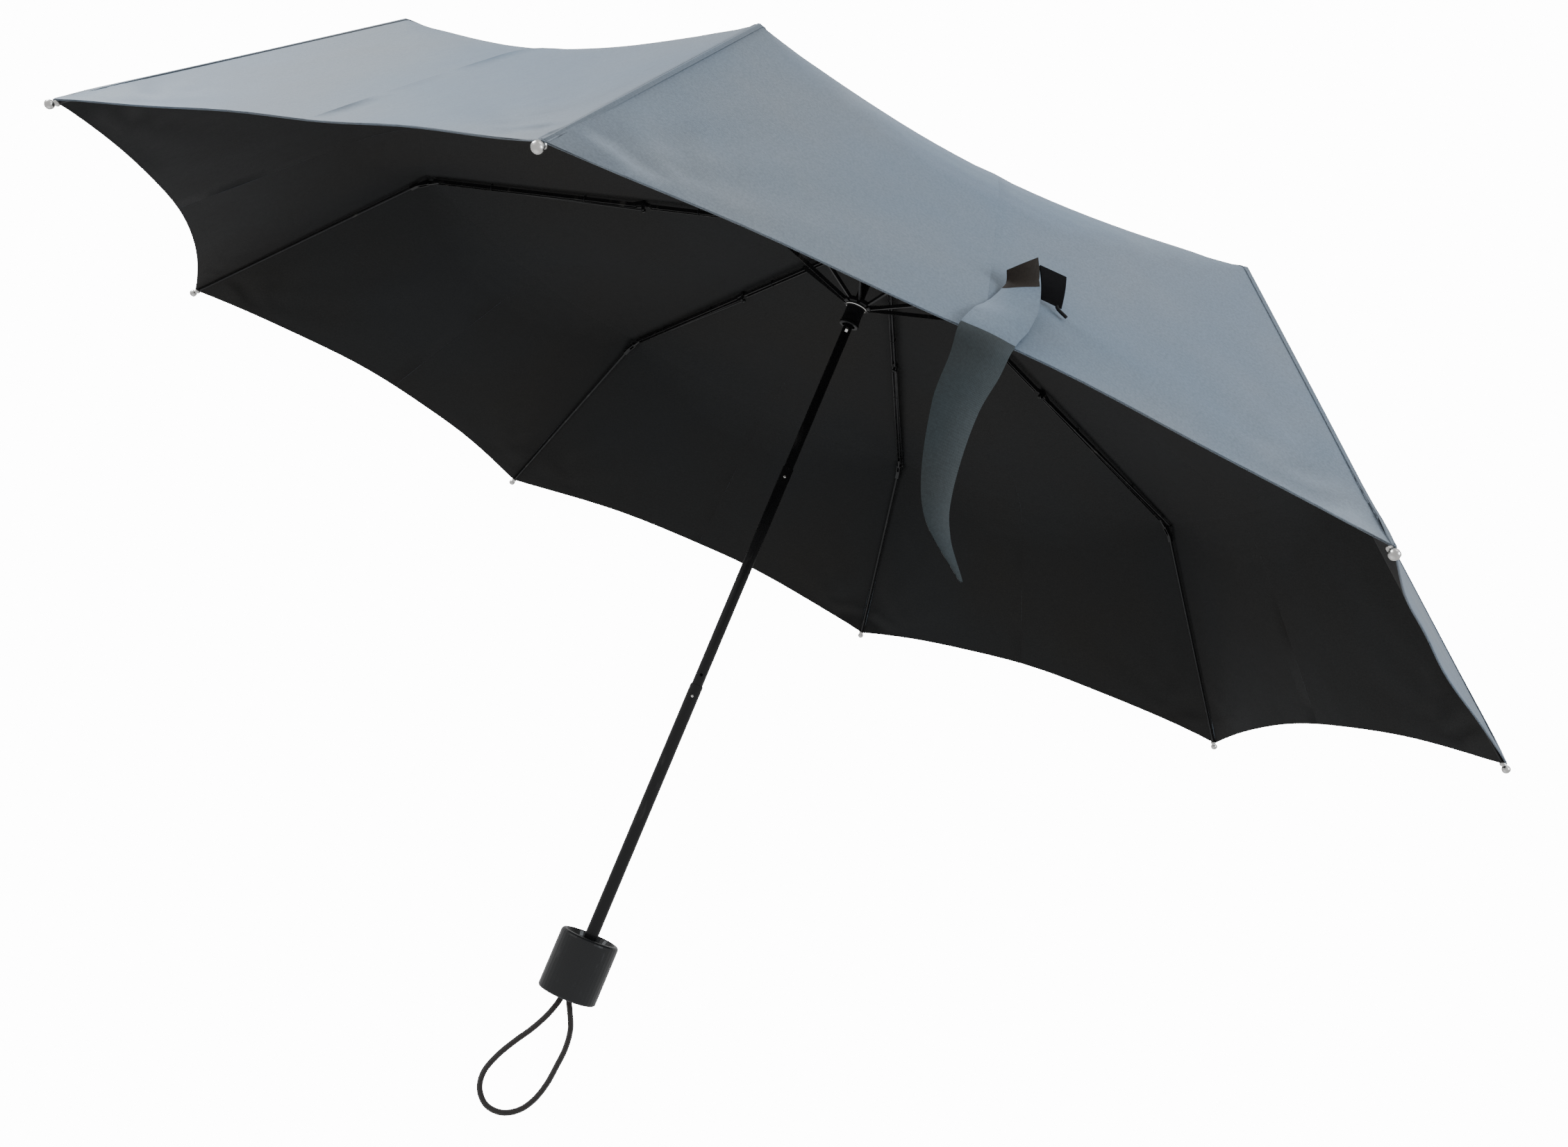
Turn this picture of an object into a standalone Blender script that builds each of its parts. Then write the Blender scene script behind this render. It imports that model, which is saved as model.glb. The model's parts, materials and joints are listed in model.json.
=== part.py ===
"""Compact folding umbrella, open: three-section ribs on a shaft of three telescoping tubes.

Metres, +Z up along the shaft, origin at the centre of the handle's bottom face.
Each rib set is modelled in the radial plane at azimuth 0 (X outwards, Y around the shaft) and
copied around the shaft, so X, Z below mean "outwards" and "up" and Y is the layer in the rib set.
"""
import math

import bmesh
import bpy
from mathutils import Matrix, Vector

MM = 0.001

# ---- driving dimensions -------------------------------------------------------------------
RIBS = 8
STEP_ANGLE = 2 * math.pi / RIBS
CROWN_Z = 0.552                 # height of the rib hinges
CROWN_HINGE_R = 9.0 * MM
MAIN_LENGTH = 169.5 * MM        # crown hinge to first elbow
MIDDLE_LENGTH = 169.5 * MM      # first elbow to second elbow
ELBOW_DROP = 3.8 * MM           # the second elbow's hinge lies under the middle rib
TIP = (0.480, 0.3465)           # radius and height of the rib tips
MAIN_PITCH = math.radians(10.8)             # below horizontal, canopy open
STRETCHER_AT = 83.5 * MM        # hinge of the stretcher along the main rib
RUNNER_HINGE = (9.5 * MM, 0.4985)

HANDLE_R = 19.6 * MM
HANDLE_H = 39.7 * MM
TUBE_LOW = {"lower": 8 * MM, "middle": 187 * MM, "upper": 346 * MM}
TUBE_TOP = {"lower": 214.5 * MM, "middle": 372.9 * MM, "upper": 546.5 * MM}
TUBE_R = {"lower": 4.35 * MM, "middle": 3.75 * MM, "upper": 3.20 * MM}
TUBE_WALL = 0.35 * MM

GAP = 0.3 * MM                  # between neighbouring pieces
PIN_R = 0.6 * MM
HOLE_R = PIN_R + GAP
RIB_HALF = 1.5 * MM             # half width of the folded sheet ribs
RIB_TOP = -0.5 * MM             # rib channel, measured from the line of its hinges
RIB_LOW = -3.3 * MM
RIB_WALL = 0.5 * MM
TONGUE_HALF = 0.6 * MM          # half thickness of the flat ends
LINK_LEVER = 4.0 * MM           # link rod's hinge below the first elbow
TIP_LEVER = 2.6 * MM            # and its lever beside the second elbow
TIP_LEVER_ANGLE = math.radians(71.85)       # from the middle rib's own line
CATCH_AZIMUTH = math.radians(-75)

CLOTH = 0.6 * MM
HEM_CUT = 25 * MM               # how far the hem curves in between two tips
CLOTH_DIP = 7 * MM              # how far a gore hangs in under its ribs' chord
STRAP_GORE = 6                  # the tie strap's gore, from rib 6 to rib 7
STRAP_WIDTH = 24 * MM
CORD_R = 1.9 * MM

# ---- scene, materials ---------------------------------------------------------------------
for old in list(bpy.data.objects):
    bpy.data.objects.remove(old, do_unlink=True)

parts = bpy.data.collections.new("folding_umbrella")
cutters = bpy.data.collections.new("cutters")
for group in (parts, cutters):
    bpy.context.scene.collection.children.link(group)


def material(name, colour, roughness, metallic=0.0):
    mat = bpy.data.materials.new(name)
    mat.use_nodes = True
    shader = mat.node_tree.nodes["Principled BSDF"]
    shader.inputs["Base Color"].default_value = (*colour, 1)
    shader.inputs["Roughness"].default_value = roughness
    shader.inputs["Metallic"].default_value = metallic
    return mat


BLACK_STEEL = material("black_steel", (0.022, 0.021, 0.022), 0.32, 0.7)
BRIGHT_STEEL = material("bright_steel", (0.62, 0.61, 0.58), 0.28, 1.0)
MOULDED = material("black_moulding", (0.018, 0.018, 0.019), 0.30)
CANOPY_CLOTH = material("canopy_cloth", (0.33, 0.37, 0.42), 0.75)
CORD_YARN = material("cord_yarn", (0.045, 0.032, 0.028), 0.85)


# ---- shape helpers ------------------------------------------------------------------------
def place(obj, mat, smooth_under=35):
    """Put a finished object in the umbrella's collection with its material."""
    obj.data.materials.clear()
    obj.data.materials.append(mat)
    obj.data.shade_smooth()
    obj.data.set_sharp_from_angle(angle=math.radians(smooth_under))
    for holder in list(obj.users_collection):
        holder.objects.unlink(obj)
    parts.objects.link(obj)
    return obj


def from_bmesh(bm, name):
    mesh = bpy.data.meshes.new(name)
    bm.to_mesh(mesh)
    bm.free()
    obj = bpy.data.objects.new(name, mesh)
    cutters.objects.link(obj)
    obj.hide_render = True
    obj.display_type = "WIRE"
    return obj


def box(low, high):
    size = [b - a for a, b in zip(low, high)]
    middle = [(a + b) / 2 for a, b in zip(low, high)]
    bm = bmesh.new()
    bmesh.ops.create_cube(bm, size=1, matrix=Matrix.LocRotScale(Vector(middle), None, Vector(size)))
    return from_bmesh(bm, "box")


def rod(start, end, radius, end_radius=None, sides=8):
    """Round bar from start to end, tapering if end_radius is given."""
    start, end = Vector(start), Vector(end)
    along = end - start
    turn = along.to_track_quat("Z", "Y").to_matrix().to_4x4()
    bm = bmesh.new()
    bmesh.ops.create_cone(
        bm, cap_ends=True, segments=sides, radius1=radius,
        radius2=radius if end_radius is None else end_radius, depth=along.length,
        matrix=Matrix.Translation((start + end) / 2) @ turn)
    return from_bmesh(bm, "rod")


def ball(centre, radius):
    bm = bmesh.new()
    bmesh.ops.create_uvsphere(bm, u_segments=8, v_segments=6, radius=radius,
                              matrix=Matrix.Translation(centre))
    return from_bmesh(bm, "ball")


def baked(obj):
    """Evaluated mesh of an object, its loose caps welded."""
    mesh = bpy.data.meshes.new_from_object(
        obj.evaluated_get(bpy.context.evaluated_depsgraph_get()))
    bm = bmesh.new()
    bm.from_mesh(mesh)
    bmesh.ops.remove_doubles(bm, verts=bm.verts, dist=1e-6)
    bm.to_mesh(mesh)
    bm.free()
    return mesh


def plate(outline, y_low, y_high):
    """Flat plate with an outline of (x, z) points, from y_low to y_high."""
    curve = bpy.data.curves.new("plate", "CURVE")
    curve.dimensions = "2D"
    curve.fill_mode = "BOTH"
    curve.extrude = (y_high - y_low) / 2
    spline = curve.splines.new("POLY")
    spline.points.add(len(outline) - 1)
    for point, (x, z) in zip(spline.points, outline):
        point.co = (x, z, 0, 1)
    spline.use_cyclic_u = True
    flat = bpy.data.objects.new("plate", curve)
    cutters.objects.link(flat)
    bpy.context.view_layer.update()
    mesh = baked(flat)
    bpy.data.objects.remove(flat)
    mesh.transform(Matrix.Translation((0, (y_low + y_high) / 2, 0))
                   @ Matrix.Rotation(math.pi / 2, 4, "X"))
    obj = bpy.data.objects.new("plate", mesh)
    cutters.objects.link(obj)
    obj.hide_render = True
    obj.display_type = "WIRE"
    return obj


def arc(centre, radius, start, end, count=5):
    """Points of an arc, angles in degrees, counter-clockwise in X, Z."""
    turns = [math.radians(start + (end - start) * i / count) for i in range(count + 1)]
    return [(centre[0] + radius * math.cos(a), centre[1] + radius * math.sin(a)) for a in turns]


def fused(name, pieces, cuts=()):
    """One mesh: the union of the pieces less the cuts. The pieces are used up."""
    first = pieces[0]
    for operation, others in (("UNION", pieces[1:]), ("DIFFERENCE", cuts)):
        for other in others:
            step = first.modifiers.new(operation, "BOOLEAN")
            step.operation = operation
            step.solver = "EXACT"
            step.object = other
    bpy.context.view_layer.update()
    mesh = baked(first)
    mesh.name = name
    for used in list(pieces) + list(cuts):
        bpy.data.objects.remove(used, do_unlink=True)
    return mesh


def turned(name, profile, steps=32):
    """Turned solid: a profile of (radius, z) points, down its outer side."""
    on_axis = profile[0][0] == 0
    mesh = bpy.data.meshes.new(name)
    edges = [(i, i + 1) for i in range(len(profile) - 1)]
    if not on_axis:
        edges.append((len(profile) - 1, 0))
    mesh.from_pydata([(r, 0, z) for r, z in profile], edges, [])
    obj = bpy.data.objects.new(name, mesh)
    cutters.objects.link(obj)
    screw = obj.modifiers.new("turn", "SCREW")
    screw.steps = screw.render_steps = steps
    screw.use_merge_vertices = True
    screw.merge_threshold = 1e-5
    bpy.context.view_layer.update()
    return obj


def single(name, mesh, mat, location=(0, 0, 0), rotation=(0, 0, 0)):
    obj = bpy.data.objects.new(name, mesh)
    cutters.objects.link(obj)
    obj.location = location
    obj.rotation_euler = rotation
    return place(obj, mat)


def around(name, mesh, mat, at, pitch):
    """Eight copies of a rib piece, hinged at (radius, z) and pitched below horizontal."""
    for i in range(RIBS):
        turn = i * STEP_ANGLE
        spot = (at[0] * math.cos(turn), at[0] * math.sin(turn), at[1])
        single(f"{name}_{i}", mesh, mat, spot, (0, pitch, turn))


def along(origin, pitch, x, z=0.0):
    """Point (x, z) of a rib's own frame, in the radial plane."""
    return (origin[0] + x * math.cos(pitch) + z * math.sin(pitch),
            origin[1] - x * math.sin(pitch) + z * math.cos(pitch))


# ---- hinge places in the radial plane ------------------------------------------------------
CROWN = (CROWN_HINGE_R, CROWN_Z)
STRETCHER_LOCAL = (STRETCHER_AT, (RIB_TOP + RIB_LOW) / 2)
STRETCHER_HINGE = along(CROWN, MAIN_PITCH, *STRETCHER_LOCAL)
ELBOW_1 = along(CROWN, MAIN_PITCH, MAIN_LENGTH)
ELBOW_2 = along(ELBOW_1, MAIN_PITCH, MIDDLE_LENGTH, -ELBOW_DROP)
OUTER_PITCH = math.atan2(ELBOW_2[1] - TIP[1], TIP[0] - ELBOW_2[0])
OUTER_LENGTH = math.hypot(TIP[0] - ELBOW_2[0], TIP[1] - ELBOW_2[1])
STRETCHER_LENGTH = math.hypot(STRETCHER_HINGE[0] - RUNNER_HINGE[0],
                              STRETCHER_HINGE[1] - RUNNER_HINGE[1])
STRETCHER_PITCH = math.pi - math.atan2(STRETCHER_HINGE[1] - RUNNER_HINGE[1],
                                       STRETCHER_HINGE[0] - RUNNER_HINGE[0])
LINK_HINGE = along(CROWN, MAIN_PITCH, MAIN_LENGTH, -LINK_LEVER)
LINK_END = along(ELBOW_2, MAIN_PITCH, TIP_LEVER * math.cos(TIP_LEVER_ANGLE),
                 TIP_LEVER * math.sin(TIP_LEVER_ANGLE))
LINK_LENGTH = math.hypot(LINK_END[0] - LINK_HINGE[0], LINK_END[1] - LINK_HINGE[1])
LINK_PITCH = math.atan2(LINK_HINGE[1] - LINK_END[1], LINK_END[0] - LINK_HINGE[0])


# ---- rib sets -----------------------------------------------------------------------------
def channel(start, end):
    """Sheet rib folded to a channel that opens downwards."""
    outside = box((start, -RIB_HALF, RIB_LOW), (end, RIB_HALF, RIB_TOP))
    inside = box((start - MM, RIB_WALL - RIB_HALF, RIB_LOW - MM),
                 (end + MM, RIB_HALF - RIB_WALL, RIB_TOP - RIB_WALL))
    obj = bpy.data.objects.new("channel", fused("channel", [outside], [inside]))
    cutters.objects.link(obj)
    return obj


def eye_plate(eye, radius, tail_x, tail_low, tail_high, y_low, y_high):
    """Flat rib end: a round eye that runs into a tail inside the channel."""
    side = 1 if tail_x > eye[0] else -1
    nose = arc(eye, radius, 90, 270) if side > 0 else arc(eye, radius, 270, 450)
    tail = [(tail_x, tail_low), (tail_x, tail_high)]
    return plate(nose + (tail if side > 0 else tail[::-1]), y_low, y_high)


def main_rib():
    elbow = (MAIN_LENGTH, 0)
    link_spot = (MAIN_LENGTH, -LINK_LEVER)
    x, z = STRETCHER_LOCAL
    low, high = RIB_LOW + 0.3 * MM, RIB_TOP - 0.2 * MM
    pieces = [
        channel(4.5 * MM, MAIN_LENGTH - 5 * MM),
        eye_plate((0, 0), 1.5 * MM, 8 * MM, low, high, -TONGUE_HALF, TONGUE_HALF),
        eye_plate(elbow, 1.7 * MM, MAIN_LENGTH - 8 * MM, low, high, -TONGUE_HALF, TONGUE_HALF),
        plate(arc(link_spot, 1.1 * MM, 180, 360)
              + [(MAIN_LENGTH + 1.1 * MM, 0.13 * MM), (MAIN_LENGTH - 1.1 * MM, 0.13 * MM)],
              -TONGUE_HALF + 0.02 * MM, TONGUE_HALF - 0.02 * MM),
        rod((MAIN_LENGTH, -RIB_HALF, 0), (MAIN_LENGTH, 2.0 * MM, 0), PIN_R),
        rod((x, 1.2 * MM, z), (x, 3.9 * MM, z), PIN_R),
        rod((MAIN_LENGTH, -3.7 * MM, -LINK_LEVER), (MAIN_LENGTH, 0, -LINK_LEVER), PIN_R)]
    crown_hole = rod((0, -2 * MM, 0), (0, 2 * MM, 0), 0.75 * MM)
    return fused("main_rib", pieces, [crown_hole])


def middle_rib():
    pin_x, pin_z = MIDDLE_LENGTH, -ELBOW_DROP
    low, high = RIB_LOW + 0.3 * MM, RIB_TOP - 0.2 * MM
    cheeks = [eye_plate((0, 0), 2.0 * MM, 9 * MM, low, high, *sorted((0.9 * MM * s, 1.48 * MM * s)))
              for s in (-1, 1)]
    pieces = [
        channel(5 * MM, MIDDLE_LENGTH - 5 * MM), *cheeks,
        eye_plate((pin_x, pin_z), 1.5 * MM, MIDDLE_LENGTH - 9 * MM, low, high,
                  -TONGUE_HALF, TONGUE_HALF),
        rod((pin_x, -2.0 * MM, pin_z), (pin_x, 2.0 * MM, pin_z), PIN_R)]
    return fused("middle_rib", pieces, [rod((0, -3 * MM, 0), (0, 3 * MM, 0), HOLE_R)])


def outer_rib():
    """Fork, tapering spring wire and ball tip. The fork's lever takes the link rod."""
    lever_angle = TIP_LEVER_ANGLE + OUTER_PITCH - MAIN_PITCH
    lever = (TIP_LEVER * math.cos(lever_angle), TIP_LEVER * math.sin(lever_angle))
    cheeks = [eye_plate((0, 0), 1.9 * MM, 9 * MM, 0.9 * MM, 2.7 * MM,
                        *sorted((0.9 * MM * s, 1.48 * MM * s))) for s in (-1, 1)]
    lug = plate(arc(lever, 0.8 * MM, 20, 200) + [(-0.9 * MM, 0.13 * MM), (0.9 * MM, 0.13 * MM)],
                -1.46 * MM, -0.92 * MM)
    block = box((6 * MM, -RIB_HALF, 0.7 * MM), (13 * MM, RIB_HALF, 3.0 * MM))
    wire = rod((11 * MM, 0, 1.9 * MM), (OUTER_LENGTH, 0, 0), 1.1 * MM, 0.8 * MM)
    tip = ball((OUTER_LENGTH, 0, 0), 2.0 * MM)
    eye = rod((0, -3 * MM, 0), (0, 3 * MM, 0), HOLE_R)
    return fused("outer_rib", [block, *cheeks, lug, wire, tip], [eye])


def stretcher():
    """Flat arm beside the main rib, with an eye on the rib's pin and a round inner end."""
    layer = (1.9 * MM, 3.3 * MM)
    arm = plate(arc((0, 0), 1.5 * MM, 90, 270) + arc((STRETCHER_LENGTH, 0), 1.2 * MM, 270, 450),
                *layer)
    return fused("stretcher", [arm], [rod((0, 0, 0), (0, 5 * MM, 0), HOLE_R)])


def link_rod():
    layer = (-3.1 * MM, -1.8 * MM)
    centre = sum(layer) / 2
    eye = plate(arc((0, 0), 1.5 * MM, 0, 324, 9), *layer)
    end = plate(arc((LINK_LENGTH, 0), 0.9 * MM, 0, 315, 7), *layer)
    wire = rod((1.2 * MM, centre, 0), (LINK_LENGTH - 0.5 * MM, centre, 0), 0.6 * MM, sides=6)
    return fused("link_rod", [wire, eye, end], [rod((0, -5 * MM, 0), (0, 0, 0), HOLE_R)])


around("main_rib", main_rib(), BLACK_STEEL, CROWN, MAIN_PITCH)
around("middle_rib", middle_rib(), BLACK_STEEL, ELBOW_1, MAIN_PITCH)
around("outer_rib", outer_rib(), BLACK_STEEL, ELBOW_2, OUTER_PITCH)
around("stretcher", stretcher(), BLACK_STEEL, STRETCHER_HINGE, STRETCHER_PITCH)
around("link_rod", link_rod(), BLACK_STEEL, LINK_HINGE, LINK_PITCH)


# ---- shaft --------------------------------------------------------------------------------
def radial_hole(height, radius):
    """Cutter through one wall of a tube, on the side of the catches."""
    way = Vector((math.cos(CATCH_AZIMUTH), math.sin(CATCH_AZIMUTH), 0))
    level = Vector((0, 0, height))
    return rod(level + way * 2 * MM, level + way * 8 * MM, radius)


def tube(name, holes):
    low, high, outer = TUBE_LOW[name], TUBE_TOP[name], TUBE_R[name]
    inner = outer - TUBE_WALL
    edge = 0.12 * MM
    blank = turned(name, [(inner, high), (outer - edge, high), (outer, high - edge),
                          (outer, low + edge), (outer - edge, low), (inner, low)], 28)
    return fused(name, [blank], [radial_hole(z, r) for z, r in holes])


LOWER_BUTTON_Z = TUBE_TOP["lower"] - 8 * MM
UPPER_BUTTON_Z = TUBE_TOP["middle"] - 7 * MM
CATCH_Z = RUNNER_HINGE[1] - 21.7 * MM           # just under the raised runner
BUTTON_R = 1.0 * MM
SPRING_HOLE_Z = TUBE_TOP["lower"] + 7 * MM

single("lower_tube", tube("lower", [(LOWER_BUTTON_Z, BUTTON_R + GAP)]), BLACK_STEEL)
single("middle_tube", tube("middle", [(LOWER_BUTTON_Z, BUTTON_R + GAP),
                                      (UPPER_BUTTON_Z, BUTTON_R + GAP),
                                      (SPRING_HOLE_Z, 1.1 * MM)]), BLACK_STEEL)
single("upper_tube", tube("upper", [(UPPER_BUTTON_Z, BUTTON_R + GAP),
                                    (CATCH_Z, 2.2 * MM)]), BLACK_STEEL)


def tube_button(name, height, reach):
    """Sprung button that stands through two tube walls, with a domed end."""
    way = Vector((math.cos(CATCH_AZIMUTH), math.sin(CATCH_AZIMUTH), 0))
    level = Vector((0, 0, height))
    dome = 0.35 * MM
    foot, shoulder = level + way * 1.6 * MM, level + way * (reach - dome)
    shank = rod(foot, shoulder, BUTTON_R)
    cap = rod(shoulder - way * 0.05 * MM, level + way * reach, BUTTON_R - 0.02 * MM, 0.55 * MM)
    single(name, fused(name, [shank, cap]), BRIGHT_STEEL)


tube_button("lower_button", LOWER_BUTTON_Z, TUBE_R["lower"] + 0.25 * MM)
tube_button("upper_button", UPPER_BUTTON_Z, TUBE_R["middle"] + 0.25 * MM)


def runner_catch():
    """Wedge under the runner: flat on top, sloped below so that the runner can pass upwards."""
    top, low = CATCH_Z + 1.5 * MM, CATCH_Z - 1.5 * MM
    outline = [(1.7 * MM, low), (3.2 * MM, low), (4.5 * MM, top - 1.4 * MM), (4.5 * MM, top),
               (1.7 * MM, top)]
    mesh = fused("runner_catch", [plate(outline, -0.9 * MM, 0.9 * MM)])
    single("runner_catch", mesh, BRIGHT_STEEL, rotation=(0, 0, CATCH_AZIMUTH))


def catch_spring():
    """Bowed leaf inside the upper tube that pushes the catch out."""
    half = 16 * MM
    bow = [(half * (i / 6 - 1), 1.0 * MM * (1 - (i / 6 - 1) ** 2)) for i in range(13)]
    outside = [(0.2 * MM + b, CATCH_Z + h) for h, b in bow]
    inside = [(-0.15 * MM + b, CATCH_Z + h) for h, b in reversed(bow)]
    mesh = fused("catch_spring", [plate(outside + inside, -1.3 * MM, 1.3 * MM)])
    single("catch_spring", mesh, BRIGHT_STEEL, rotation=(0, 0, CATCH_AZIMUTH))


runner_catch()
catch_spring()


# ---- crown, runner, cap ---------------------------------------------------------------------
def slots(first_r, last_r, y_low, y_high, z_low, z_high):
    """Eight radial slot cutters."""
    made = []
    for i in range(RIBS):
        cutter = box((first_r, y_low, z_low), (last_r, y_high, z_high))
        cutter.data.transform(Matrix.Rotation(i * STEP_ANGLE, 4, "Z"))
        made.append(cutter)
    return made


def crown():
    top, low = CROWN_Z + 1.6 * MM, CROWN_Z - 2.6 * MM
    wire_r, floor = CROWN_HINGE_R, CROWN_Z - 0.8 * MM
    sleeve_in = TUBE_R["upper"] + GAP
    blank = turned("crown", [
        (0, CROWN_Z + 8 * MM), (2.1 * MM, CROWN_Z + 8 * MM), (2.5 * MM, CROWN_Z + 7.6 * MM),
        (2.5 * MM, top), (wire_r - 0.8 * MM, top), (wire_r - 0.8 * MM, floor),
        (wire_r + 0.8 * MM, floor), (wire_r + 0.8 * MM, top), (wire_r + 1.4 * MM, top),
        (wire_r + 1.6 * MM, top - 0.3 * MM), (wire_r + 1.6 * MM, low + 0.3 * MM),
        (wire_r + 1.2 * MM, low), (5.0 * MM, low), (5.0 * MM, CROWN_Z - 12 * MM),
        (sleeve_in, CROWN_Z - 12 * MM), (sleeve_in, TUBE_TOP["upper"] + GAP),
        (0, TUBE_TOP["upper"] + GAP)], 32)
    cuts = slots(wire_r - 2.2 * MM, 13 * MM, -TONGUE_HALF - 0.4 * MM, TONGUE_HALF + 0.4 * MM,
                 low - MM, top + MM)
    return fused("crown", [blank], cuts)


def runner():
    """Sliding runner: slotted flange for the stretchers over a waisted grip."""
    hub_r, flange_r, bore = 6.9 * MM, 10.2 * MM, 4.7 * MM
    hinge_z = RUNNER_HINGE[1]
    top, under, low = hinge_z + 0.9 * MM, hinge_z - 2.6 * MM, hinge_z - 17.5 * MM
    blank = turned("runner", [
        (bore, top), (flange_r - 0.5 * MM, top), (flange_r, top - 0.5 * MM),
        (flange_r, under + 0.5 * MM), (flange_r - 0.5 * MM, under), (hub_r, under - 0.4 * MM),
        (hub_r - 0.5 * MM, under - 2 * MM), (hub_r - 0.7 * MM, under - 7 * MM),
        (hub_r - 0.4 * MM, low + 2.6 * MM), (hub_r, low + 1.8 * MM), (hub_r, low + 0.4 * MM),
        (hub_r - 0.4 * MM, low), (bore, low)], 32)
    cuts = slots(7.8 * MM, 13 * MM, 1.5 * MM, 3.7 * MM, under - MM, top + MM)
    return fused("runner", [blank], cuts)


def ring(name, radius, height, wire):
    """Ring of binding wire, square in section and set on its corner."""
    turns = [-k * math.pi / 2 for k in range(4)]
    section = [(radius + wire * math.cos(a), height + wire * math.sin(a)) for a in turns]
    single(name, fused(name, [turned(name, section, 28)]), BRIGHT_STEEL)


def top_cap():
    """Domed cap outside the canopy, on the crown's post."""
    z = CROWN_Z + 5.6 * MM
    bore = 2.5 * MM + GAP
    return fused("top_cap", [turned("top_cap", [
        (0, z + 8.5 * MM), (2.4 * MM, z + 8.3 * MM), (4.6 * MM, z + 7.2 * MM),
        (6.4 * MM, z + 5.2 * MM), (8.0 * MM, z + 2.2 * MM), (9.0 * MM, z + 0.8 * MM),
        (9.0 * MM, z + 0.3 * MM), (8.6 * MM, z), (bore, z), (bore, z + 3.0 * MM),
        (0, z + 3.0 * MM)], 32)])


single("crown", crown(), MOULDED)
single("runner", runner(), MOULDED)
single("top_cap", top_cap(), MOULDED)
ring("crown_wire", CROWN_HINGE_R, CROWN_Z, 0.35 * MM)
ring("runner_wire", 7.35 * MM, RUNNER_HINGE[1] - 3.5 * MM, 0.35 * MM)


# ---- handle and wrist loop ------------------------------------------------------------------
def handle():
    """Short cylindrical grip: dished top round the tube, recess for the end plug below."""
    r, h, bore = HANDLE_R, HANDLE_H, TUBE_R["lower"] + GAP
    return fused("handle", [turned("handle", [
        (bore, h - 3.4 * MM), (15.0 * MM, h - 3.4 * MM), (16.2 * MM, h - 0.6 * MM),
        (16.9 * MM, h), *[(r - 2.2 * MM + 2.2 * MM * math.sin(math.radians(a)),
                           h - 2.2 * MM + 2.2 * MM * math.cos(math.radians(a)))
                          for a in range(0, 91, 30)],
        *[(r - 1.6 * MM + 1.6 * MM * math.cos(math.radians(a)),
           1.6 * MM - 1.6 * MM * math.sin(math.radians(a))) for a in range(0, 91, 30)],
        (9.3 * MM, 0), (9.3 * MM, 5.3 * MM), (bore, 5.3 * MM)], 40)])


def end_plug():
    """Plug in the handle's base, with the hole that the wrist loop comes out of."""
    r, low, high, hole = 9.0 * MM, 0.6 * MM, 5.0 * MM, 4.5 * MM
    return fused("end_plug", [turned("end_plug", [
        (hole, high), (r, high), (r, low + 0.4 * MM), (r - 0.4 * MM, low),
        (hole + 0.5 * MM, low), (hole, low + 0.5 * MM)], 32)])


single("handle", handle(), MOULDED)
single("end_plug", end_plug(), MOULDED)

# Route of the wrist loop in its own hanging plane: across, height.
LOOP_SIDE = Vector((0.9632, 0.2688, 0))
LOOP_ROUTE = [
    (-2.2, 4.2), (-2.3, 0.5), (-3.2, -6), (-6.5, -16), (-12, -27), (-19, -38), (-25.5, -50),
    (-29.3, -62), (-27.5, -72.5), (-20, -80), (-9.5, -81), (0, -76), (6.5, -67), (10.3, -55),
    (11.8, -42), (12.6, -30), (10.8, -18), (6, -8), (3, -2.5), (2.3, 1), (2.2, 4.2)]


def smooth_route(points, per_span):
    """Points of a smooth curve through the route's points."""
    ends = [points[0] * 2 - points[1], *points, points[-1] * 2 - points[-2]]
    made = []
    for a, b, c, d in zip(ends, ends[1:], ends[2:], ends[3:]):
        for i in range(per_span):
            t = i / per_span
            made.append((b * 2 + (c - a) * t + (a * 2 - b * 5 + c * 4 - d) * t ** 2
                         + (b * 3 - a - c * 3 + d) * t ** 3) / 2)
    return made + [points[-1]]


def wrist_cord():
    curve = bpy.data.curves.new("wrist_cord", "CURVE")
    curve.dimensions = "3D"
    curve.bevel_depth = CORD_R
    curve.bevel_resolution = 2
    curve.use_fill_caps = True
    knots = [LOOP_SIDE * x * MM + Vector((0, 0, z * MM)) for x, z in LOOP_ROUTE]
    route = smooth_route(knots, 3)
    spline = curve.splines.new("POLY")
    spline.points.add(len(route) - 1)
    for point, co in zip(spline.points, route):
        point.co = (*co, 1)
    obj = bpy.data.objects.new("wrist_cord", curve)
    curve.materials.append(CORD_YARN)
    parts.objects.link(obj)


wrist_cord()


# ---- canopy and tie strap -------------------------------------------------------------------
CLOTH_POINTS = [                # the cloth's line over a rib: crown, both elbows, tip
    (4.2 * MM, CROWN_Z + 4.4 * MM),
    along(ELBOW_1, MAIN_PITCH, 0, 2.7 * MM),
    along(ELBOW_2, (MAIN_PITCH + OUTER_PITCH) / 2, 0, 5.8 * MM),
    along(ELBOW_2, OUTER_PITCH, OUTER_LENGTH - 2.4 * MM, 1.8 * MM)]
CLOTH_SPANS = [math.dist(a, b) for a, b in zip(CLOTH_POINTS, CLOTH_POINTS[1:])]
CLOTH_LENGTH = sum(CLOTH_SPANS)
CLOTH_ELBOW = CLOTH_SPANS[0] + CLOTH_SPANS[1]
ROUNDING = 28 * MM              # how softly a gore's middle goes round the second elbow


def cloth_line(s):
    """Radius and height of the cloth over a rib, s metres from the crown."""
    for a, b, span in zip(CLOTH_POINTS, CLOTH_POINTS[1:], CLOTH_SPANS):
        if s <= span or b is CLOTH_POINTS[-1]:
            share = s / span
            return a[0] + (b[0] - a[0]) * share, a[1] + (b[1] - a[1]) * share
        s -= span


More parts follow.
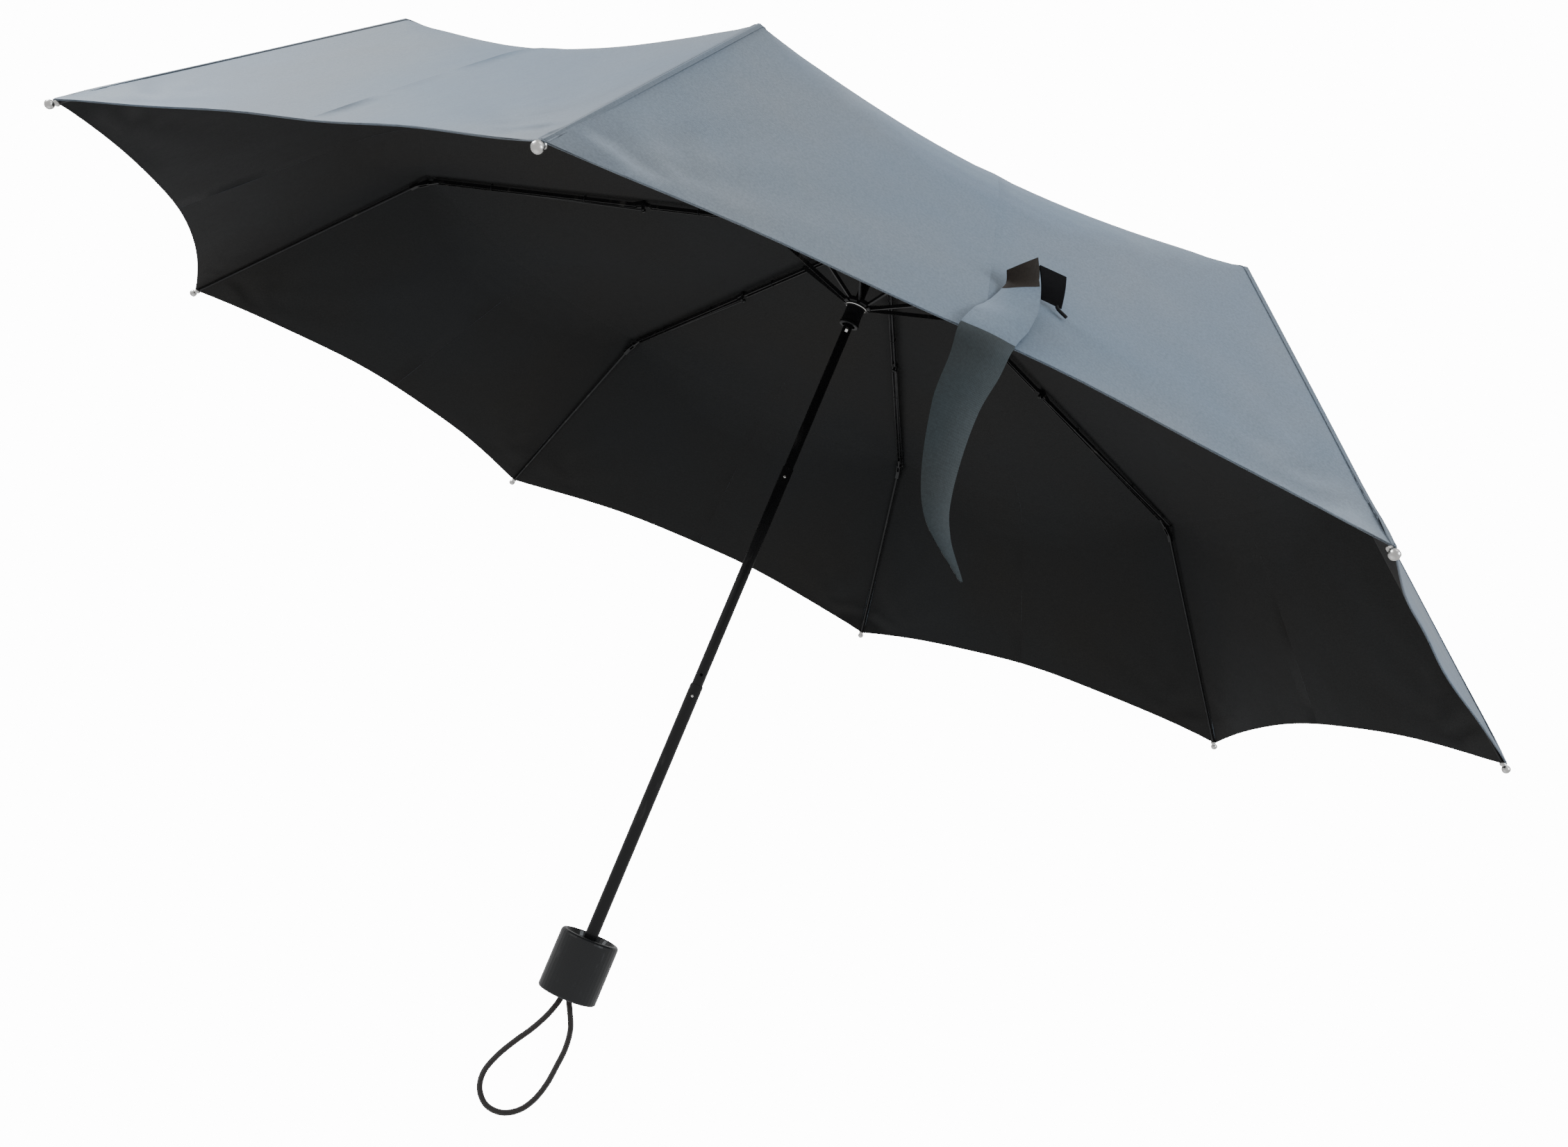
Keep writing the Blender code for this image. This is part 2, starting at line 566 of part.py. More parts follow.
def canopy_point(gore, t, s, lift=0.0):
    """Point of the cloth: t from -1 on the gore's first rib to 1 on its second."""
    open_share = 1 - t * t
    soft = ROUNDING * open_share * min(1, s / ROUNDING)
    before, after = cloth_line(s - soft), cloth_line(s + soft)
    radius, height = (before[0] + after[0]) / 2, (before[1] + after[1]) / 2
    dip = CLOTH_DIP * open_share * math.sin(math.pi / 2 * min(1, s / CLOTH_ELBOW)) - lift
    pitch = MAIN_PITCH + (OUTER_PITCH - MAIN_PITCH) * min(1, max(0, s / CLOTH_ELBOW * 2 - 1.5))
    radius -= dip * math.sin(pitch)
    height -= dip * math.cos(pitch)
    spot = Vector((radius * math.cos(STEP_ANGLE / 2), radius * math.sin(STEP_ANGLE / 2) * t, height))
    spot.rotate(Matrix.Rotation((gore + 0.5) * STEP_ANGLE, 3, "Z"))
    return spot


def hem_at(t):
    return CLOTH_LENGTH - HEM_CUT * (1 - t * t)


def sheet(name, columns, rows, spot, thickness, closed=False, mat=CANOPY_CLOTH):
    """Cloth with spot(u, v) for u, v from 0 to 1."""
    bm = bmesh.new()
    bmesh.ops.create_grid(bm, x_segments=columns, y_segments=rows, size=0.5)
    for vert in bm.verts:
        vert.co = spot(vert.co.x + 0.5, vert.co.y + 0.5)
    if closed:
        bmesh.ops.remove_doubles(bm, verts=bm.verts, dist=1e-5)
    bmesh.ops.recalc_face_normals(bm, faces=bm.faces)
    mesh = bpy.data.meshes.new(name)
    bm.to_mesh(mesh)
    bm.free()
    obj = bpy.data.objects.new(name, mesh)
    solid = obj.modifiers.new("thickness", "SOLIDIFY")
    solid.thickness = thickness
    solid.offset = 0
    place(obj, mat, 60)


ROWS = (4, 4, 6)                # over the main, middle and outer ribs


def canopy_spot(u, v):
    place_around = u * RIBS
    gore = min(int(place_around + 1e-6), RIBS - 1)
    t = 2 * (place_around - gore) - 1
    row = v * sum(ROWS)
    s, end = 0.0, hem_at(t)
    for span, rows in zip((CLOTH_SPANS[0], CLOTH_SPANS[1], end - CLOTH_ELBOW), ROWS):
        s += span * min(1, max(0, row / rows))
        row -= rows
    return canopy_point(gore, t, s)


sheet("canopy", RIBS * 4, sum(ROWS), canopy_spot, CLOTH, closed=True)

# The strap is stitched down above the hem, where its root end stands up as a short flap.
# It turns over the hem and hangs, bending sideways to its point.
HEM_MIDDLE = hem_at(0)
FLAP_RISE = Vector((-0.34, -0.22, 0.91))        # the way the flap and the tab stand up
FLAP_ACROSS = Vector((0.71, 0.07, 0.70))
GORE_MIDDLE = (STRAP_GORE + 0.5) * STEP_ANGLE
GORE_ACROSS = Vector((-math.sin(GORE_MIDDLE), math.cos(GORE_MIDDLE), 0))


def on_gore(t, above_hem, lift):
    return canopy_point(STRAP_GORE, t, HEM_MIDDLE - above_hem, lift)


FLAP_FOOT = on_gore(0.085, 44 * MM, 3 * MM)
STRAP_EDGE = on_gore(0, 0, 3.4 * MM)
STRAP_ROUTE = [                 # its centre line, and its width there as a share of the full one
    (FLAP_FOOT + FLAP_RISE * 12 * MM, 0.58), (FLAP_FOOT + FLAP_RISE * 4 * MM, 0.58),
    (on_gore(0.06, 28 * MM, 3.4 * MM), 0.90), (on_gore(0.03, 11 * MM, 3.6 * MM), 1.0),
    (STRAP_EDGE + Vector((1, -2, -4)) * MM, 1.0), (STRAP_EDGE + Vector((1, -2, -17)) * MM, 0.90),
    (STRAP_EDGE + Vector((0, -2, -36)) * MM, 0.78), (STRAP_EDGE + Vector((4, -1, -64)) * MM, 0.58),
    (STRAP_EDGE + Vector((11, 0, -82)) * MM, 0.42), (STRAP_EDGE + Vector((27, 0, -99)) * MM, 0.08)]
STRAP_TURN = 3                  # route points over which the flap's edge swings to the hem's
STRAP_PER_SPAN = 3


def strap_spot(u, v):
    line = smooth_route([point for point, _ in STRAP_ROUTE], STRAP_PER_SPAN)
    place_along = v * (len(STRAP_ROUTE) - 1)
    step = min(int(round(place_along * STRAP_PER_SPAN)), len(line) - 1)
    span = min(int(place_along + 1e-6), len(STRAP_ROUTE) - 2)
    width = STRAP_ROUTE[span][1]
    width += (STRAP_ROUTE[span + 1][1] - width) * (place_along - span)
    across = FLAP_ACROSS.lerp(GORE_ACROSS, min(1, place_along / STRAP_TURN)).normalized()
    return line[step] + across * STRAP_WIDTH * width * (u - 0.5)


sheet("tie_strap", 2, (len(STRAP_ROUTE) - 1) * STRAP_PER_SPAN, strap_spot, 0.9 * MM)

TAB_FOOT = on_gore(0.175, 47 * MM, 2.2 * MM)
TAB_WIDTH = 11 * MM
TAB_HEIGHT = 14 * MM


def tab_spot(u, v):
    return TAB_FOOT + GORE_ACROSS * TAB_WIDTH * (u - 0.5) + FLAP_RISE * TAB_HEIGHT * v


sheet("strap_tab", 2, 2, tab_spot, 1.2 * MM, mat=MOULDED)
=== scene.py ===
"""Looks of the folding umbrella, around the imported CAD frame. Metres, +Z up along the shaft."""
import json
import math

import bpy
from mathutils import Matrix, Vector


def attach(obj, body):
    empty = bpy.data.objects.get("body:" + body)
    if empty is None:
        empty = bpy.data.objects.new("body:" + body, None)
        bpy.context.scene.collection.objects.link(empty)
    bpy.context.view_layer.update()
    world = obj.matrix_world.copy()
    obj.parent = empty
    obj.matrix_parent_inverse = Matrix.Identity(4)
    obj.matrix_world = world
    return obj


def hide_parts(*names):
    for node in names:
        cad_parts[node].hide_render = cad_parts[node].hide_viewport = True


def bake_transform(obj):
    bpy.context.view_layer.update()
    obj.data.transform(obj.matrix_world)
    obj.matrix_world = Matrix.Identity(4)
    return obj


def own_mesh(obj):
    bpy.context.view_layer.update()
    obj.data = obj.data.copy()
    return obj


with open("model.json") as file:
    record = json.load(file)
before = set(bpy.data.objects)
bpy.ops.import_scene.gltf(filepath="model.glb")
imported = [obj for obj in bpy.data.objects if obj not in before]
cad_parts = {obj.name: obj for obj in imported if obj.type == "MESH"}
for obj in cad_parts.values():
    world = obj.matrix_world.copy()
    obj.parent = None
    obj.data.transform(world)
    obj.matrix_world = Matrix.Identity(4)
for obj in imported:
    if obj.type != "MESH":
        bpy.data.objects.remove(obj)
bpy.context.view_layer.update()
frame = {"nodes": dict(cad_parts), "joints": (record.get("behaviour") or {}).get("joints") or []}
MM = 0.001
joints = {j["name"]: j for j in frame["joints"]}
nodes = frame["nodes"]

# ---- sizes, from the frame ------------------------------------------------------------------
RIBS = 8
STEP_ANGLE = 2 * math.pi / RIBS


def hinge(name):
    """Radius and height of a joint of rib set 0, which lies over +X."""
    x, _, z = joints[name]["pos_m"]
    return x, z


CROWN = hinge("main_rib_0_fold")
ELBOW_1 = hinge("middle_rib_0_fold")
ELBOW_2 = hinge("outer_rib_0_fold")
MAIN_PITCH = math.atan2(CROWN[1] - ELBOW_1[1], ELBOW_1[0] - CROWN[0])
TIP = (0.480, 0.3465)           # radius and height of a rib's tip
OUTER_PITCH = math.atan2(ELBOW_2[1] - TIP[1], TIP[0] - ELBOW_2[0])
OUTER_LENGTH = math.dist(ELBOW_2, TIP)
CLOTH_DIP = 7 * MM              # the cloth sinks this far between two ribs
HEM_CUT = 25 * MM               # the hem is cut this far back in the middle of a gore
ROUNDING = 28 * MM              # away from the ribs, the elbows' corners are rounded over this
SOFTENING = [-1.5, -1.0, -0.5, 0.0, 0.5, 1.0, 1.5]      # places to average, in roundings


def along(origin, pitch, x, z):
    """Point (x, z) of a rib's own frame, in the radial plane."""
    return (origin[0] + x * math.cos(pitch) + z * math.sin(pitch),
            origin[1] - x * math.sin(pitch) + z * math.cos(pitch))


CLOTH_POINTS = [                # radius and height at the crown, both elbows and the tip
    (4.2 * MM, CROWN[1] + 4.4 * MM),
    along(ELBOW_1, MAIN_PITCH, 0, 2.7 * MM),
    along(ELBOW_2, (MAIN_PITCH + OUTER_PITCH) / 2, 0, 5.8 * MM),
    along(ELBOW_2, OUTER_PITCH, OUTER_LENGTH - 2.4 * MM, 1.8 * MM)]
CLOTH_SPANS = [math.dist(a, b) for a, b in zip(CLOTH_POINTS, CLOTH_POINTS[1:])]
CLOTH_LENGTH = sum(CLOTH_SPANS)
CLOTH_ELBOW = CLOTH_SPANS[0] + CLOTH_SPANS[1]

# ---- camera ---------------------------------------------------------------------------------
CAMERA_PLACE = (0.2645, -0.9477, 0.1609)
CAMERA_TURN, CAMERA_TILT, CAMERA_ROLL = (math.radians(a) for a in (14.16, 98.36, 22.64))
camera_data = bpy.data.cameras.new("camera")
camera_data.lens = 34.16
camera_data.sensor_width = 36
camera_data.clip_end = 200
camera = bpy.data.objects.new("camera", camera_data)
bpy.context.scene.collection.objects.link(camera)
camera.matrix_world = (
    Matrix.Translation(CAMERA_PLACE)
    @ Matrix.Rotation(CAMERA_TURN, 4, "Z")
    @ Matrix.Rotation(CAMERA_TILT, 4, "X")
    @ Matrix.Rotation(CAMERA_ROLL, 4, "Z"))
bpy.context.scene.camera = camera


# ---- materials ------------------------------------------------------------------------------
class Shader:
    """A Principled material and short ways to add the nodes that feed it."""

    def __init__(self, name, colour, roughness, **values):
        self.mat = bpy.data.materials.new(name)
        self.mat.use_nodes = True
        self.nodes = self.mat.node_tree.nodes
        self.links = self.mat.node_tree.links
        self.bsdf = self.nodes["Principled BSDF"]
        self.bsdf.inputs["Base Color"].default_value = (*colour, 1)
        self.bsdf.inputs["Roughness"].default_value = roughness
        for key, value in values.items():
            self.bsdf.inputs[key.replace("_", " ")].default_value = value
        self.coords = self.nodes.new("ShaderNodeTexCoord")
        self.normal = None

    def noise(self, scale, detail, stretch=None):
        node = self.nodes.new("ShaderNodeTexNoise")
        node.inputs["Scale"].default_value = scale
        node.inputs["Detail"].default_value = detail
        source = self.coords.outputs["Object"]
        if stretch:
            mapping = self.nodes.new("ShaderNodeMapping")
            mapping.inputs["Scale"].default_value = stretch
            self.links.new(source, mapping.inputs["Vector"])
            source = mapping.outputs["Vector"]
        self.links.new(source, node.inputs["Vector"])
        return node.outputs["Fac"]

    def waves(self, scale, axis):
        node = self.nodes.new("ShaderNodeTexWave")
        node.wave_type = "BANDS"
        node.bands_direction = axis
        node.inputs["Scale"].default_value = scale
        self.links.new(self.coords.outputs["UV"], node.inputs["Vector"])
        return node.outputs["Fac"]

    def ramp(self, factor, stops):
        node = self.nodes.new("ShaderNodeValToRGB")
        ramp = node.color_ramp
        while len(ramp.elements) < len(stops):
            ramp.elements.new(0.5)
        for element, (place, value) in zip(ramp.elements, stops):
            element.position = place
            element.color = (*value, 1) if hasattr(value, "__len__") else (value,) * 3 + (1,)
        self.links.new(factor, node.inputs["Fac"])
        return node.outputs["Color"]

    def mix(self, a, b, factor, blend="MIX"):
        node = self.nodes.new("ShaderNodeMix")
        node.data_type = "RGBA"
        node.blend_type = blend
        for key, value in (("A", a), ("B", b), ("Factor", factor)):
            socket = [i for i in node.inputs if i.name == key and
                      i.type == ("VALUE" if key == "Factor" else "RGBA")][0]
            if isinstance(value, bpy.types.NodeSocket):
                self.links.new(value, socket)
            elif key == "Factor":
                socket.default_value = value
            else:
                socket.default_value = (*value, 1)
        return [o for o in node.outputs if o.type == "RGBA"][0]

    def math(self, operation, a, b):
        node = self.nodes.new("ShaderNodeMath")
        node.operation = operation
        for socket, value in zip(node.inputs, (a, b)):
            if isinstance(value, bpy.types.NodeSocket):
                self.links.new(value, socket)
            else:
                socket.default_value = value
        return node.outputs[0]

    def bump(self, height, distance, strength):
        """Adds a relief on top of the ones there already."""
        node = self.nodes.new("ShaderNodeBump")
        node.inputs["Strength"].default_value = strength
        node.inputs["Distance"].default_value = distance
        self.links.new(height, node.inputs["Height"])
        if self.normal is not None:
            self.links.new(self.normal, node.inputs["Normal"])
        self.normal = node.outputs["Normal"]
        self.links.new(self.normal, self.bsdf.inputs["Normal"])

    def set(self, name, output):
        self.links.new(output, self.bsdf.inputs[name])


THREAD_SCALE = 450.0            # of the weave's bands, over the cloth's size in metres


def cloth(name, colour, worn, sheen, roughness=(0.5, 0.66), gloss=0.45):
    """Plain woven polyester: fine crossed threads, mottled colour and soft handling creases."""
    s = Shader(name, colour, 0.55, Sheen_Weight=sheen, Sheen_Roughness=0.35,
               Specular_IOR_Level=gloss)
    s.bsdf.inputs["Sheen Tint"].default_value = (0.75, 0.86, 1.0, 1)
    broad = s.noise(7.0, 4.0)
    fine = s.noise(900.0, 2.0)
    tone = s.mix(colour, worn, s.ramp(broad, [(0.35, 0.0), (0.7, 1.0)]))
    grain = s.ramp(fine, [(0.3, (0.86,) * 3), (0.7, (1.12,) * 3)])
    s.set("Base Color", s.mix(tone, grain, 1.0, "MULTIPLY"))
    s.set("Roughness", s.ramp(broad, [(0.3, roughness[0]), (0.7, roughness[1])]))
    warp = s.waves(THREAD_SCALE, "X")
    weft = s.waves(THREAD_SCALE, "Y")
    s.bump(s.math("MULTIPLY", warp, weft), 0.12 * MM, 0.35)
    creases = s.noise(38.0, 5.0, stretch=(1, 1, 0.6))
    s.bump(creases, 1.6 * MM, 0.35)
    return s.mat


def lacquer(name, colour, metallic, roughness, wear):
    """Black lacquered steel, its gloss broken by handling and worn lighter in small marks."""
    s = Shader(name, colour, roughness, Metallic=metallic, Coat_Weight=0.2, Coat_Roughness=0.12,
               Specular_IOR_Level=0.3)
    marks = s.noise(160.0, 6.0, stretch=(1, 1, 0.25))
    s.set("Base Color", s.mix(colour, wear, s.ramp(marks, [(0.60, 0.0), (0.74, 1.0)])))
    s.set("Roughness", s.ramp(s.noise(60.0, 4.0), [(0.3, roughness * 0.8), (0.7, roughness * 1.5)]))
    s.bump(s.noise(420.0, 2.0), 0.04 * MM, 0.4)
    return s.mat


def plated(name, colour, roughness):
    """Nickel plate, finely scratched along the part and dulled in spots."""
    s = Shader(name, colour, roughness, Metallic=1.0)
    scratches = s.noise(300.0, 4.0, stretch=(1, 1, 6))
    s.set("Base Color", s.mix(colour, tuple(c * 0.6 for c in colour),
                              s.ramp(s.noise(90.0, 3.0), [(0.5, 0.0), (0.75, 1.0)])))
    s.set("Roughness", s.ramp(scratches, [(0.3, roughness * 0.7), (0.7, roughness * 1.6)]))
    s.bump(scratches, 0.03 * MM, 0.5)
    return s.mat


def moulded(name, colour, roughness, coat):
    """Moulded plastic: faint flow marks, dust in the gloss and fine scuffs."""
    s = Shader(name, colour, roughness, Coat_Weight=coat, Coat_Roughness=0.08,
               Specular_IOR_Level=0.22)
    scuffs = s.noise(210.0, 6.0, stretch=(1, 1, 0.4))
    s.set("Base Color", s.mix(colour, tuple(c * 2.4 for c in colour),
                              s.ramp(scuffs, [(0.62, 0.0), (0.78, 1.0)])))
    s.set("Roughness", s.ramp(s.noise(45.0, 4.0), [(0.3, roughness * 0.8), (0.7, roughness * 1.5)]))
    s.bump(s.noise(120.0, 3.0), 0.08 * MM, 0.25)
    return s.mat


def braid(name, colour, light):
    """Round braided cord: slanting strands, broken up by fine fibres."""
    s = Shader(name, colour, 0.8, Sheen_Weight=0.25, Sheen_Roughness=0.5)
    bands = s.waves(12.0, "DIAGONAL")
    strands = s.math("MULTIPLY", bands, s.noise(700.0, 3.0))
    s.set("Base Color", s.mix(colour, light, s.ramp(strands, [(0.15, 0.0), (0.5, 1.0)])))
    s.bump(bands, 0.3 * MM, 0.8)
    return s.mat


# The canopy's two sides are two tones, a light slate outside and a near-black inside. This is partly
# the cloth's own two sides and partly painted light: the outside is painted lighter as lit from
# above, the inside darker as the shade under the canopy.
CLOTH_OUTSIDE = cloth("canopy_outside", (0.098, 0.146, 0.205), (0.160, 0.182, 0.205), 0.30)
CLOTH_INSIDE = cloth("canopy_inside", (0.0125, 0.0132, 0.0142), (0.0190, 0.0180, 0.0170), 0.0,
                     (0.6, 0.8), gloss=0.16)
SEAM_CLOTH = cloth("seam_cloth", (0.082, 0.122, 0.170), (0.13, 0.15, 0.17), 0.25)
# The strap is cut from the canopy's cloth. These two tones are painted shade on it: dark slate
# painted shade on its hanging part, and brown painted shadow on its raised flap.
STRAP_PAINTED_SHADE = cloth("strap_cloth_painted_shade", (0.024, 0.037, 0.044), (0.034, 0.032, 0.028), 0.05, gloss=0.25)
FLAP_PAINTED_SHADOW = cloth("flap_cloth_painted_shadow", (0.023, 0.018, 0.0145), (0.012, 0.009, 0.0075), 0.0, gloss=0.15)
HOOK_TAPE = cloth("hook_tape", (0.005, 0.005, 0.006), (0.012, 0.012, 0.012), 0.0, (0.8, 0.95),
                  gloss=0.1)
THREAD = cloth("thread", (0.010, 0.010, 0.011), (0.02, 0.02, 0.02), 0.1, (0.7, 0.9), gloss=0.2)
RIB_LACQUER = lacquer("rib_lacquer", (0.012, 0.012, 0.013), 0.3, 0.34, (0.06, 0.058, 0.055))
SHAFT_LACQUER = lacquer("shaft_lacquer", (0.010, 0.010, 0.011), 0.4, 0.22, (0.035, 0.034, 0.034))
NICKEL = plated("nickel", (0.66, 0.65, 0.63), 0.25)
GRIP_PLASTIC = moulded("grip_plastic", (0.0170, 0.0175, 0.0185), 0.26, 0.12)
FITTING_PLASTIC = moulded("fitting_plastic", (0.008, 0.008, 0.009), 0.36, 0.05)
CORD_BRAID = braid("cord_braid", (0.010, 0.007, 0.006), (0.030, 0.021, 0.018))

FINISHES = {
    "main_rib": RIB_LACQUER, "middle_rib": RIB_LACQUER, "outer_rib": RIB_LACQUER,
    "stretcher": RIB_LACQUER, "link_rod": RIB_LACQUER, "lower_tube": SHAFT_LACQUER,
    "middle_tube": SHAFT_LACQUER, "upper_tube": SHAFT_LACQUER, "handle": GRIP_PLASTIC,
    "end_plug": GRIP_PLASTIC, "crown": FITTING_PLASTIC, "runner": FITTING_PLASTIC,
    "top_cap": FITTING_PLASTIC, "lower_button": NICKEL, "upper_button": NICKEL,
    "runner_catch": NICKEL, "catch_spring": NICKEL, "crown_wire": NICKEL, "runner_wire": NICKEL,
    "canopy": CLOTH_OUTSIDE, "tie_strap": STRAP_PAINTED_SHADE, "strap_tab": HOOK_TAPE,
    "wrist_cord": CORD_BRAID}
for name, node in nodes.items():
    base = name.rstrip("0123456789").rstrip("_")
    node.data.materials.clear()
    node.data.materials.append(FINISHES[base])


# ---- wrist loop -----------------------------------------------------------------------------
CORD_R = 1.9 * MM
LOOP_SIDE = Vector((0.9632, 0.2688, 0))         # the loop hangs in this upright plane
LOOP_ROUTE = [                  # mm to the side and up, from exit to exit
    (-2.2, 4.2), (-2.3, 0.5), (-3.2, -6), (-6.5, -16), (-12, -27), (-19, -38), (-25.5, -50),
    (-29.3, -62), (-27.5, -72.5), (-20, -80), (-9.5, -81), (0, -76), (6.5, -67), (10.3, -55),
    (11.8, -42), (12.6, -30), (10.8, -18), (6, -8), (3, -2.5), (2.3, 1), (2.2, 4.2)]


def smooth_route(points, per_span):
    """Points of a smooth curve through the route's points."""
    ends = [points[0] * 2 - points[1], *points, points[-1] * 2 - points[-2]]
    made = []
    for a, b, c, d in zip(ends, ends[1:], ends[2:], ends[3:]):
        for i in range(per_span):
            t = i / per_span
            made.append((b * 2 + (c - a) * t + (a * 2 - b * 5 + c * 4 - d) * t ** 2
                         + (b * 3 - a - c * 3 + d) * t ** 3) / 2)
    return made + [points[-1]]


def mesh_object(name, vertices, faces, materials, uvs, face_slots=None, normals=None):
    """Smooth object from a mesh. uvs and normals are given per vertex, face_slots per face."""
    mesh = bpy.data.meshes.new(name)
    mesh.from_pydata([tuple(v) for v in vertices], [], faces)
    for mat in materials:
        mesh.materials.append(mat)
    if face_slots is not None:
        mesh.polygons.foreach_set("material_index", face_slots)
    layer = mesh.uv_layers.new(name="UVMap")
    for loop in mesh.loops:
        layer.data[loop.index].uv = uvs[loop.vertex_index]
    mesh.shade_smooth()
    if normals is not None:
        mesh.normals_split_custom_set_from_vertices([tuple(n) for n in normals])
    obj = bpy.data.objects.new(name, mesh)
    bpy.context.scene.collection.objects.link(obj)
    return obj


def swept(name, route, radius, sides, mat):
    """Round tube along a list of points, with its ends closed. radius is a number or a list."""
    route = [Vector(p) for p in route]
    radii = radius if hasattr(radius, "__len__") else [radius] * len(route)
    vertices, uvs, faces = [], [], []
    side = None
    length = 0.0
    for i, spot in enumerate(route):
        ahead = (route[min(i + 1, len(route) - 1)] - route[max(i - 1, 0)]).normalized()
        if side is None:
            side = ahead.orthogonal().normalized()
        side = (side - ahead * side.dot(ahead)).normalized()
        up = ahead.cross(side)
        if i:
            length += (spot - route[i - 1]).length
        for k in range(sides):
            a = 2 * math.pi * k / sides
            vertices.append(spot + (side * math.cos(a) + up * math.sin(a)) * radii[i])
            uvs.append((length / (2 * math.pi * max(radii)), k / sides))
    for i in range(len(route) - 1):
        for k in range(sides):
            n = (k + 1) % sides
            faces.append((i * sides + k, i * sides + n, (i + 1) * sides + n, (i + 1) * sides + k))
    faces.append(tuple(range(sides))[::-1])
    faces.append(tuple(range((len(route) - 1) * sides, len(route) * sides)))
    return mesh_object(name, vertices, faces, [mat], uvs)


loop_knots = [LOOP_SIDE * x * MM + Vector((0, 0, z * MM)) for x, z in LOOP_ROUTE]
loop_route = smooth_route(loop_knots, 8)
wrist_loop = swept("wrist_loop", loop_route, CORD_R, 12, CORD_BRAID)
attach(wrist_loop, "handle")
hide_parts("wrist_cord")


# ---- canopy ---------------------------------------------------------------------------------
def cloth_line(s):
    """Radius and height of the cloth over a rib, s metres from the crown."""
    for a, b, span in zip(CLOTH_POINTS, CLOTH_POINTS[1:], CLOTH_SPANS):
        if s <= span or b is CLOTH_POINTS[-1]:
            share = s / span
            return a[0] + (b[0] - a[0]) * share, a[1] + (b[1] - a[1]) * share
        s -= span


def hem_at(t):
    """Where the hem is, in metres of cloth from the crown."""
    return CLOTH_LENGTH - HEM_CUT * (1 - t * t)


HEM_HALF = 0.18                 # half of a gore's width at the hem, about
PULLS = 15                      # how closely the pulls fan out round a tip
PULL_REACH = 0.07               # they die away over this, and begin this far from the tip
PULL_START = 0.02
WAVE_REACH = 0.09               # how far up from the hem its waves go
CREASE_SHARE = 0.02             # width of the folding crease in the middle of a gore
CREASE_START = 0.1
HEIGHTS = (0.9 * MM, 0.8 * MM, 0.5 * MM)        # of a pull, a wave and the crease


def wrinkle(gore, t, s):
    """Slack of the cloth: pulls that fan out from the tips, waves along the hem, one crease."""
    aside = (1 - abs(t)) * HEM_HALF
    to_tip = math.hypot(aside, CLOTH_LENGTH - s)
    fan = math.atan2(aside, max(1e-4, CLOTH_LENGTH - s))
    side = 1 if t > 0 else -1
    pull = (math.sin(fan * PULLS + gore * 1.7 + side)
            * math.exp(-to_tip / PULL_REACH) * min(1, to_tip / PULL_START))
    near_hem = max(0.0, 1 - (hem_at(t) - s) / WAVE_REACH)
    wave = math.sin(t * 7.3 + gore * 2.1) * near_hem ** 2 * (1 - t * t)
    crease = math.exp(-(t / CREASE_SHARE) ** 2) * (1 - near_hem) * min(1, s / CREASE_START)
    return HEIGHTS[0] * pull + HEIGHTS[1] * wave + HEIGHTS[2] * crease


def canopy_point(gore, t, s, lift=0.0):
    """Point of the cloth: t from -1 on the gore's first rib to 1 on its second."""
    open_share = 1 - t * t
    soft = ROUNDING * open_share * min(1, s / ROUNDING)
    near = [cloth_line(s + soft * share) for share in SOFTENING]
    radius = sum(r for r, _ in near) / len(near)
    height = sum(z for _, z in near) / len(near)
    dip = CLOTH_DIP * open_share * math.sin(math.pi / 2 * min(1, s / CLOTH_ELBOW))
    dip -= lift + wrinkle(gore, t, s)
    pitch = MAIN_PITCH + (OUTER_PITCH - MAIN_PITCH) * min(1, max(0, s / CLOTH_ELBOW * 2 - 1.5))
    radius -= dip * math.sin(pitch)
    height -= dip * math.cos(pitch)
    spot = Vector((radius * math.cos(STEP_ANGLE / 2), radius * math.sin(STEP_ANGLE / 2) * t, height))
    spot.rotate(Matrix.Rotation((gore + 0.5) * STEP_ANGLE, 3, "Z"))
    return spot


def two_faced(name, spot, columns, rows, thickness, mats, outward, size):
    """Closed cloth of two faces about the surface spot(u, v). thickness(u, v) is in metres.
    size is its (width, length), for the weave. Returns the object and its area."""
    step = 1e-3
    grid, normals, depths, uvs = [], [], [], []
    for j in range(rows + 1):
        for i in range(columns + 1):
            u, v = i / columns, j / rows
            here = spot(u, v)
            across = spot(min(1, u + step), v) - spot(max(0, u - step), v)
            down = spot(u, min(1, v + step)) - spot(u, max(0, v - step))
            normal = across.cross(down).normalized()
            grid.append(here)
            normals.append(normal if normal.dot(outward) > 0 else -normal)
            depths.append(thickness(u, v) / 2)
            uvs.append((u * size[0], v * size[1]))
    count = len(grid)
    vertices = [p + n * d for p, n, d in zip(grid, normals, depths)]
    vertices += [p - n * d for p, n, d in zip(grid, normals, depths)]
    wide = columns + 1
    quads = [(j * wide + i, j * wide + i + 1, (j + 1) * wide + i + 1, (j + 1) * wide + i)
             for j in range(rows) for i in range(columns)]
    a, b, c, _ = (grid[k] for k in quads[len(quads) // 2])
    turn = 1 if (b - a).cross(c - b).dot(outward) > 0 else -1
    halves = [half for q in quads for half in ((q[0], q[1], q[2]), (q[0], q[2], q[3]))]
    faces = [h[::turn] for h in halves] + [tuple(k + count for k in h)[::-turn] for h in halves]
    edge = (list(range(wide)) + [j * wide + columns for j in range(1, rows + 1)]
            + [rows * wide + i for i in range(columns - 1, -1, -1)]
            + [j * wide for j in range(rows - 1, 0, -1)])
    rim = [(p, p + count, q + count, q)[::turn] for p, q in zip(edge, edge[1:] + edge[:1])]
    slots = [0] * len(halves) + [1] * len(halves) + [0] * len(rim)
    area = sum((grid[q] - grid[p]).cross(grid[r] - grid[p]).length / 2 for p, q, r in halves)
    obj = mesh_object(name, vertices, faces + rim, mats, uvs + uvs, slots,
                      normals + [-n for n in normals])
    return obj, area


